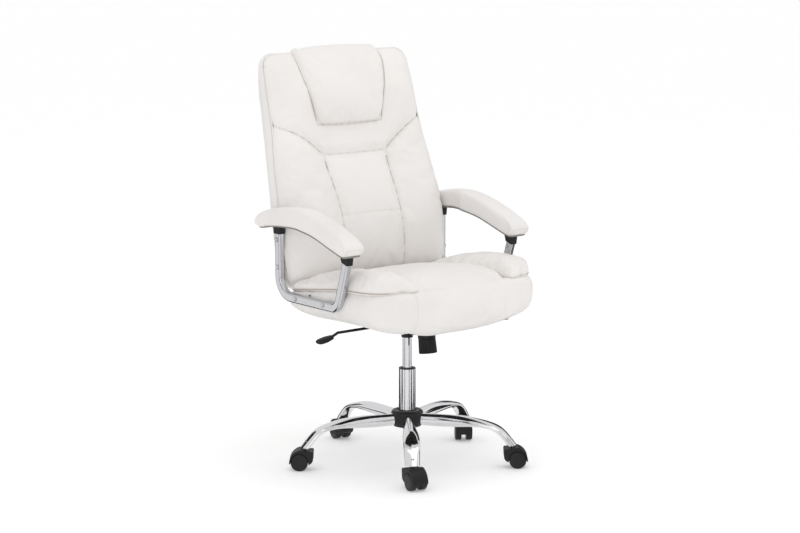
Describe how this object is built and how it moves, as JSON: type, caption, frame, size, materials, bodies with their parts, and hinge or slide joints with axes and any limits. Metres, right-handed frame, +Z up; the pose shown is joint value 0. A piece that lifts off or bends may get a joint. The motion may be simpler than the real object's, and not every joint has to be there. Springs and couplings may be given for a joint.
{
  "type": "office chair",
  "caption": "High-back padded swivel chair on a five-leg castor base, with gas lift, tilt, lever and padded arms.",
  "frame": {"origin": "on the floor, on the axis of the gas lift column", "axes": "+Z up; the seat's front faces -Y; the sitter's left is +X"},
  "size_m": [0.6864, 0.6735, 1.19],
  "materials": {
    "base_chrome": "polished",
    "cover_plastic": "satin",
    "stem_steel": "satin",
    "caster_plastic": "moulded",
    "wheel_plastic": "moulded",
    "column_chrome": "polished",
    "bush_plastic": "plain",
    "lift_chrome": "polished",
    "bright_steel": "ground",
    "mechanism_paint": "satin black",
    "spring_steel": "blackened",
    "knob_plastic": "moulded",
    "lever_steel": "black",
    "grip_plastic": "moulded",
    "arm_chrome": "polished",
    "bolt_steel": "satin",
    "cap_plastic": "satin",
    "arm_leather": "off-white, smooth",
    "plywood": "raw",
    "seat_leather": "off-white, smooth",
    "back_leather": "off-white, smooth"
  },
  "bodies": {
    "base": {"base_hub": "base_chrome", "hub_cover": "cover_plastic", "base_leg_1": "base_chrome", "base_leg_2": "base_chrome", "base_leg_3": "base_chrome", "base_leg_4": "base_chrome", "base_leg_5": "base_chrome", "caster_stems": "stem_steel", "column_tube": "column_chrome", "guide_bush": "bush_plastic"},
    "rod": {"piston_rod": "bright_steel", "thrust_bearing": "bright_steel", "retaining_clip": "bright_steel"},
    "lift": {"pressure_tube": "lift_chrome", "mechanism_housing": "mechanism_paint", "pivot_pin": "bright_steel", "tilt_spring": "spring_steel"},
    "valve": {"valve_button": "bright_steel"},
    "rocker": {"lever_rocker": "lever_steel"},
    "lever": {"lever_rod": "lever_steel", "lever_grip": "grip_plastic"},
    "seat": {"seat_plate": "mechanism_paint", "seat_frame": "plywood", "seat_cushion_base": "seat_leather", "seat_bolsters": "seat_leather", "seat_centre_pad": "seat_leather", "seat_bolts": "spring_steel", "arm_frame_left": "arm_chrome", "arm_frame_right": "arm_chrome", "arm_pad_left": "arm_leather", "arm_pad_right": "arm_leather", "arm_caps": "cap_plastic", "arm_bolts": "bolt_steel", "back_board": "plywood", "back_cushion": "back_leather", "back_cover": "back_leather", "head_pad": "back_leather", "tension_bolt": "spring_steel"},
    "knob": {"tension_knob": "knob_plastic"},
    "spring_washer": {"spring_seat": "mechanism_paint"},
    "caster_1": {"caster_hood_1": "caster_plastic", "caster_axle_1": "stem_steel"},
    "wheel_left_1": {"caster_wheel_left_1": "wheel_plastic"},
    "wheel_right_1": {"caster_wheel_right_1": "wheel_plastic"},
    "caster_2": {"caster_hood_2": "caster_plastic", "caster_axle_2": "stem_steel"},
    "wheel_left_2": {"caster_wheel_left_2": "wheel_plastic"},
    "wheel_right_2": {"caster_wheel_right_2": "wheel_plastic"},
    "caster_3": {"caster_hood_3": "caster_plastic", "caster_axle_3": "stem_steel"},
    "wheel_left_3": {"caster_wheel_left_3": "wheel_plastic"},
    "wheel_right_3": {"caster_wheel_right_3": "wheel_plastic"},
    "caster_4": {"caster_hood_4": "caster_plastic", "caster_axle_4": "stem_steel"},
    "wheel_left_4": {"caster_wheel_left_4": "wheel_plastic"},
    "wheel_right_4": {"caster_wheel_right_4": "wheel_plastic"},
    "caster_5": {"caster_hood_5": "caster_plastic", "caster_axle_5": "stem_steel"},
    "wheel_left_5": {"caster_wheel_left_5": "wheel_plastic"},
    "wheel_right_5": {"caster_wheel_right_5": "wheel_plastic"}
  },
  "joints": [
    {"name": "caster_swivel_1", "type": "hinge", "parent": "base", "child": "caster_1", "pos_m": [-0.18163, -0.24999, 0.05], "axis": [0, 0, 1], "continuous": true},
    {"name": "wheel_left_spin_1", "type": "hinge", "parent": "caster_1", "child": "wheel_left_1", "pos_m": [-0.18599, -0.27053, 0.025], "axis": [0.9781, -0.2079, 0], "continuous": true},
    {"name": "wheel_right_spin_1", "type": "hinge", "parent": "caster_1", "child": "wheel_right_1", "pos_m": [-0.18599, -0.27053, 0.025], "axis": [0.9781, -0.2079, 0], "continuous": true},
    {"name": "caster_swivel_2", "type": "hinge", "parent": "base", "child": "caster_2", "pos_m": [0.18163, -0.24999, 0.05], "axis": [0, 0, 1], "continuous": true},
    {"name": "wheel_left_spin_2", "type": "hinge", "parent": "caster_2", "child": "wheel_left_2", "pos_m": [0.19801, -0.26312, 0.025], "axis": [0.6252, 0.7804, 0], "continuous": true},
    {"name": "wheel_right_spin_2", "type": "hinge", "parent": "caster_2", "child": "wheel_right_2", "pos_m": [0.19801, -0.26312, 0.025], "axis": [0.6252, 0.7804, 0], "continuous": true},
    {"name": "caster_swivel_3", "type": "hinge", "parent": "base", "child": "caster_3", "pos_m": [0.29388, 0.09549, 0.05], "axis": [0, 0, 1], "continuous": true},
    {"name": "wheel_left_spin_3", "type": "hinge", "parent": "caster_3", "child": "wheel_left_3", "pos_m": [0.28183, 0.07828, 0.025], "axis": [0.8192, -0.5736, 0], "continuous": true},
    {"name": "wheel_right_spin_3", "type": "hinge", "parent": "caster_3", "child": "wheel_right_3", "pos_m": [0.28183, 0.07828, 0.025], "axis": [0.8192, -0.5736, 0], "continuous": true},
    {"name": "caster_swivel_4", "type": "hinge", "parent": "base", "child": "caster_4", "pos_m": [0, 0.309, 0.05], "axis": [0, 0, 1], "continuous": true},
    {"name": "wheel_left_spin_4", "type": "hinge", "parent": "caster_4", "child": "wheel_left_4", "pos_m": [0.00329, 0.32974, 0.025], "axis": [-0.9877, 0.1564, 0], "continuous": true},
    {"name": "wheel_right_spin_4", "type": "hinge", "parent": "caster_4", "child": "wheel_right_4", "pos_m": [0.00329, 0.32974, 0.025], "axis": [-0.9877, 0.1564, 0], "continuous": true},
    {"name": "caster_swivel_5", "type": "hinge", "parent": "base", "child": "caster_5", "pos_m": [-0.29388, 0.09549, 0.05], "axis": [0, 0, 1], "continuous": true},
    {"name": "wheel_left_spin_5", "type": "hinge", "parent": "caster_5", "child": "wheel_left_5", "pos_m": [-0.31027, 0.10862, 0.025], "axis": [-0.6252, -0.7804, 0], "continuous": true},
    {"name": "wheel_right_spin_5", "type": "hinge", "parent": "caster_5", "child": "wheel_right_5", "pos_m": [-0.31027, 0.10862, 0.025], "axis": [-0.6252, -0.7804, 0], "continuous": true},
    {"name": "seat_swivel", "type": "hinge", "parent": "base", "child": "rod", "pos_m": [0, 0, 0.15], "axis": [0, 0, 1], "continuous": true},
    {"name": "seat_height", "type": "slide", "parent": "rod", "child": "lift", "axis": [0, 0, 1], "range_m": [-0.085, 0]},
    {"name": "lever_lift", "type": "hinge", "parent": "lift", "child": "rocker", "pos_m": [-0.049, 0, 0.412], "axis": [0, 1, 0], "range_deg": [0, 3], "stiffness_Nm_per_rad": 6, "springref_deg": -1.15},
    {"name": "valve_press", "type": "slide", "parent": "lift", "child": "valve", "axis": [0, 0, 1], "range_m": [-0.0035, 0]},
    {"name": "tilt_lock", "type": "slide", "parent": "rocker", "child": "lever", "axis": [-1, 0, 0], "range_m": [0, 0.012]},
    {"name": "seat_tilt", "type": "hinge", "parent": "lift", "child": "seat", "pos_m": [0, -0.028, 0.41], "axis": [-1, 0, 0], "range_deg": [0, 16], "stiffness_Nm_per_rad": 120, "springref_deg": -19.08, "deforming": ["tilt_spring"]},
    {"name": "tension_turn", "type": "hinge", "parent": "seat", "child": "knob", "pos_m": [0, -0.083, 0.43], "axis": [0, 0.1392, 0.9903], "range_deg": [-720, 720]},
    {"name": "tension_washer", "type": "slide", "parent": "seat", "child": "spring_washer", "axis": [0, 0.1392, 0.9903], "range_m": [-0.003, 0.003]}
  ],
  "couplings": [
    {"joint": "valve_press", "follows": "lever_lift", "m_per_rad": -0.053},
    {"joint": "tension_washer", "follows": "tension_turn", "m_per_rad": 0.0002387}
  ]
}
